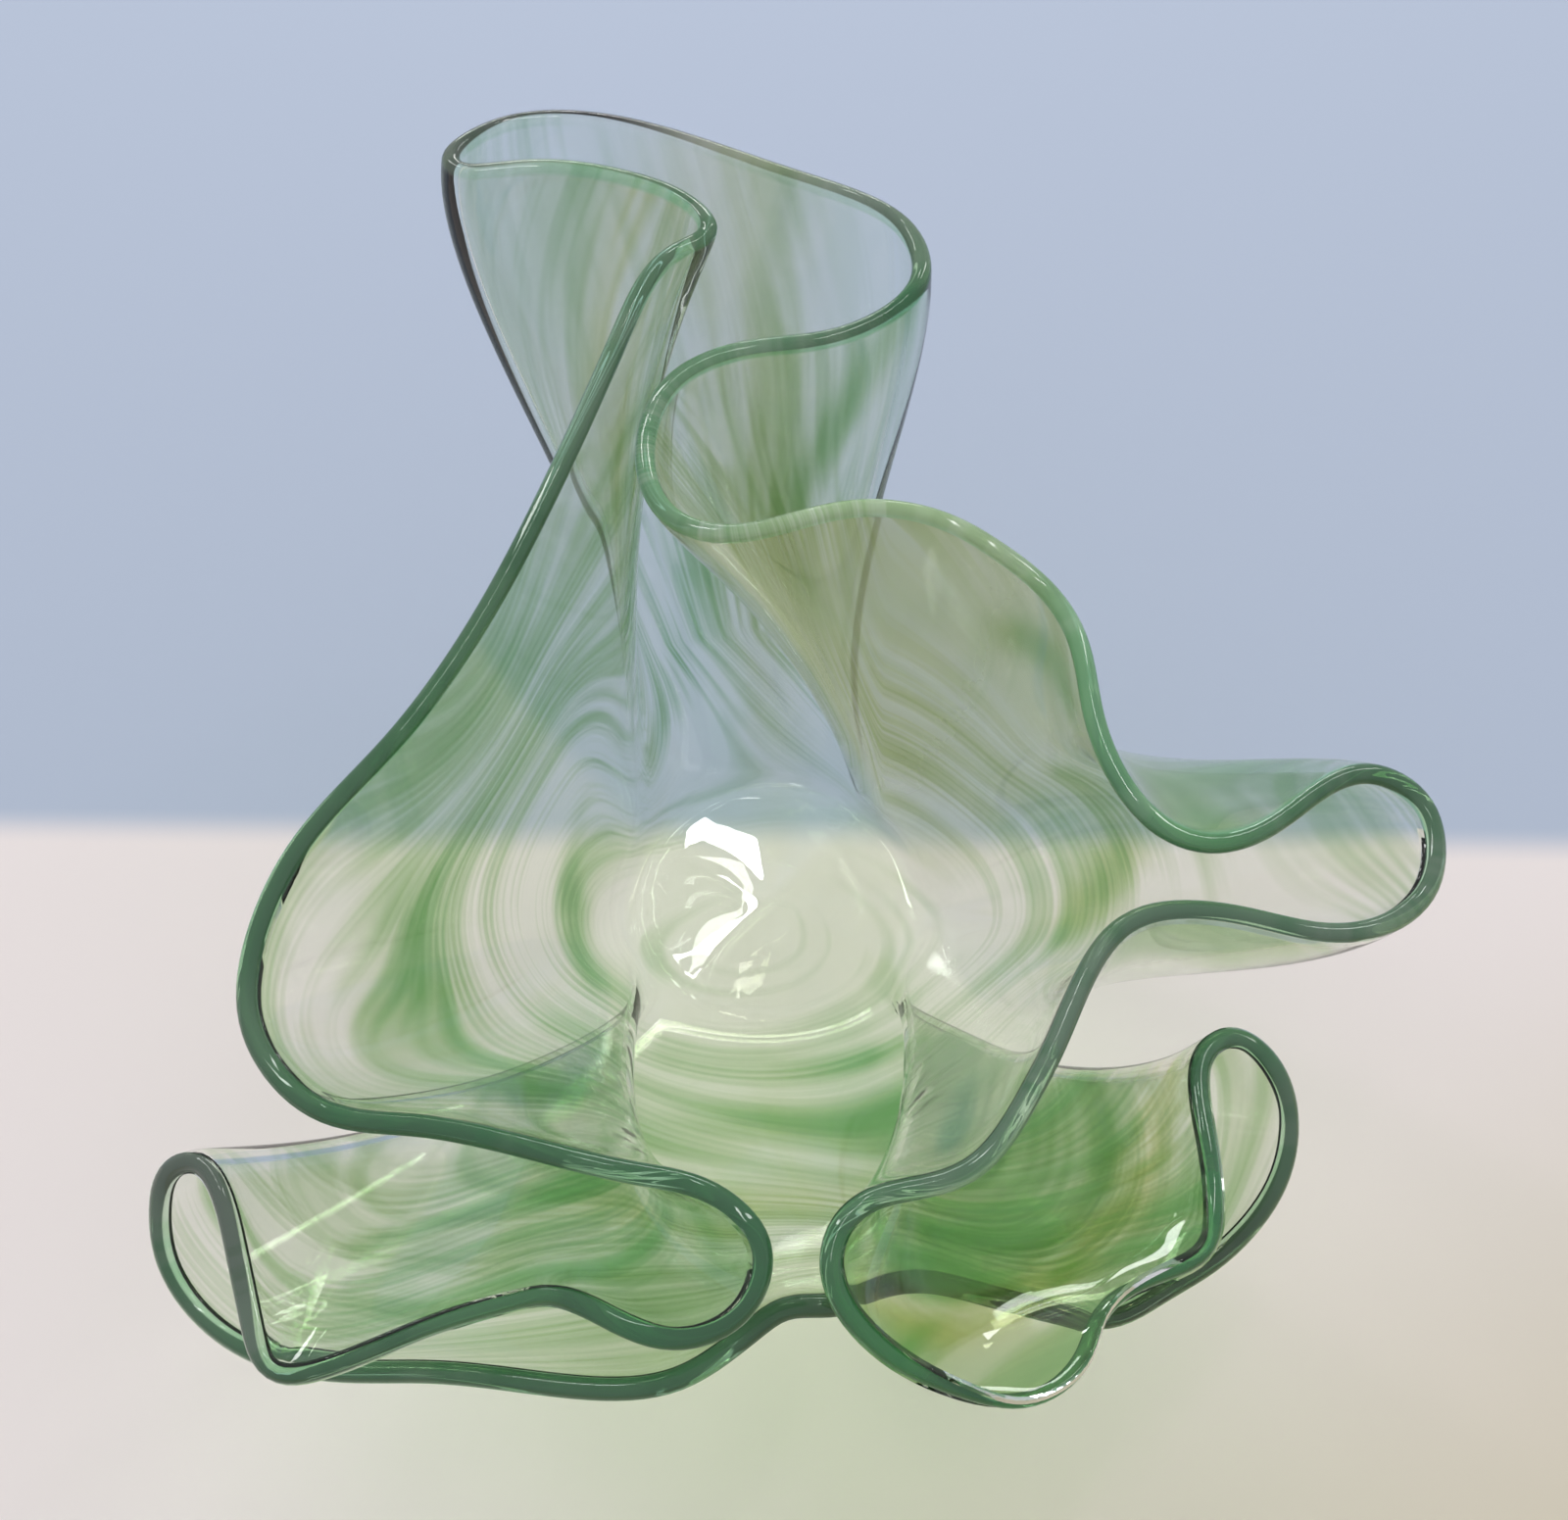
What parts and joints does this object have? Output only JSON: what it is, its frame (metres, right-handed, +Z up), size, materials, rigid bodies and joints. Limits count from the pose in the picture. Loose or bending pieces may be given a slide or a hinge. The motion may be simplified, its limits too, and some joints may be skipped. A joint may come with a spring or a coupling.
{
  "type": "handkerchief vase",
  "caption": "Open vase of one slumped glass sheet: flat round foot, flaring wall and a wavy rim that falls in folds like a draped cloth.",
  "frame": {"origin": "centre of the flat underside of the foot", "axes": "+Z up, out of the mouth; -Y towards the front lobe, the one with two arms; +X towards the narrow right lobe"},
  "size_m": [0.2125, 0.2225, 0.1319],
  "materials": {
    "green_glass": "fire-polished gloss"
  },
  "bodies": {
    "root": {"vase": "green_glass"}
  },
  "joints": []
}
